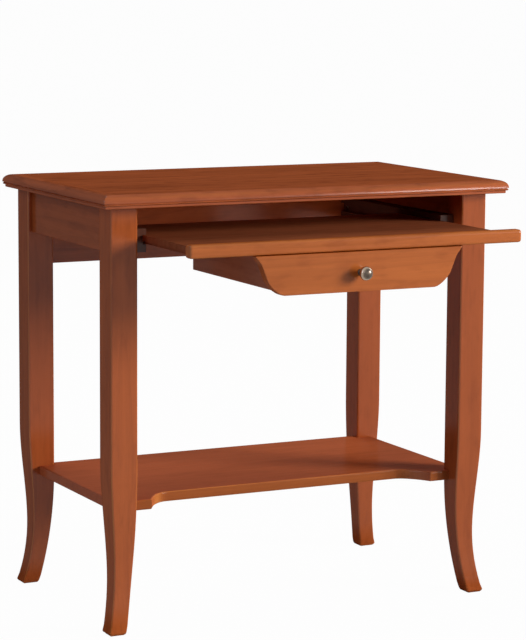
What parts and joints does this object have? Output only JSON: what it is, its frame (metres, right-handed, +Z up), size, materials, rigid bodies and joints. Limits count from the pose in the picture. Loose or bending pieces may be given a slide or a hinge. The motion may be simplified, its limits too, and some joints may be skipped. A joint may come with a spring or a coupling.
{
  "type": "writing desk",
  "caption": "Compact cherry writing desk with sabre legs, a moulded top, a lower shelf, a pull-out tray and a shaped drawer hung under the tray.",
  "frame": {"origin": "on the floor, in the middle of the whole outline with the tray drawn out as in the picture", "axes": "+X to the right of someone who faces the front, +Y towards the back, +Z up"},
  "size_m": [0.79, 0.6732, 0.762],
  "materials": {
    "cherry": "satin lacquered reddish cherry stain",
    "inner_wood": "plain sealed hardwood",
    "nickel": "antique nickel, softly polished",
    "steel": "zinc-plated"
  },
  "bodies": {
    "frame": {"desktop": "cherry", "leg_front_left": "cherry", "leg_front_right": "cherry", "leg_back_left": "cherry", "leg_back_right": "cherry", "apron_left": "cherry", "apron_right": "cherry", "apron_back": "cherry", "front_rail": "cherry", "shelf": "cherry", "runner_left": "inner_wood", "runner_right": "inner_wood", "stop_peg_left": "inner_wood", "stop_peg_right": "inner_wood", "runner_screw_front_left": "steel", "runner_screw_front_right": "steel", "runner_screw_back_left": "steel", "runner_screw_back_right": "steel", "rail_screw_left": "steel", "rail_screw_right": "steel", "shelf_dowel_front_left": "inner_wood", "shelf_dowel_front_right": "inner_wood", "shelf_dowel_back_left": "inner_wood", "shelf_dowel_back_right": "inner_wood"},
    "tray": {"tray_panel": "cherry", "tray_front": "cherry", "drawer_case_left": "cherry", "drawer_case_right": "cherry", "drawer_strip_left": "inner_wood", "drawer_strip_right": "inner_wood", "case_dowel_front_left": "inner_wood", "case_dowel_front_right": "inner_wood", "case_dowel_back_left": "inner_wood", "case_dowel_back_right": "inner_wood", "drawer_stop": "inner_wood"},
    "drawer": {"drawer_front": "cherry", "drawer_side_left": "inner_wood", "drawer_side_right": "inner_wood", "drawer_back": "inner_wood", "drawer_bottom": "inner_wood", "knob": "nickel", "knob_screw": "steel"}
  },
  "joints": [
    {"name": "tray_slide", "type": "slide", "parent": "frame", "child": "tray", "axis": [0, -1, 0], "range_m": [-0.2046, 0.012]},
    {"name": "drawer_slide", "type": "slide", "parent": "tray", "child": "drawer", "axis": [0, -1, 0], "range_m": [0, 0.26]}
  ]
}
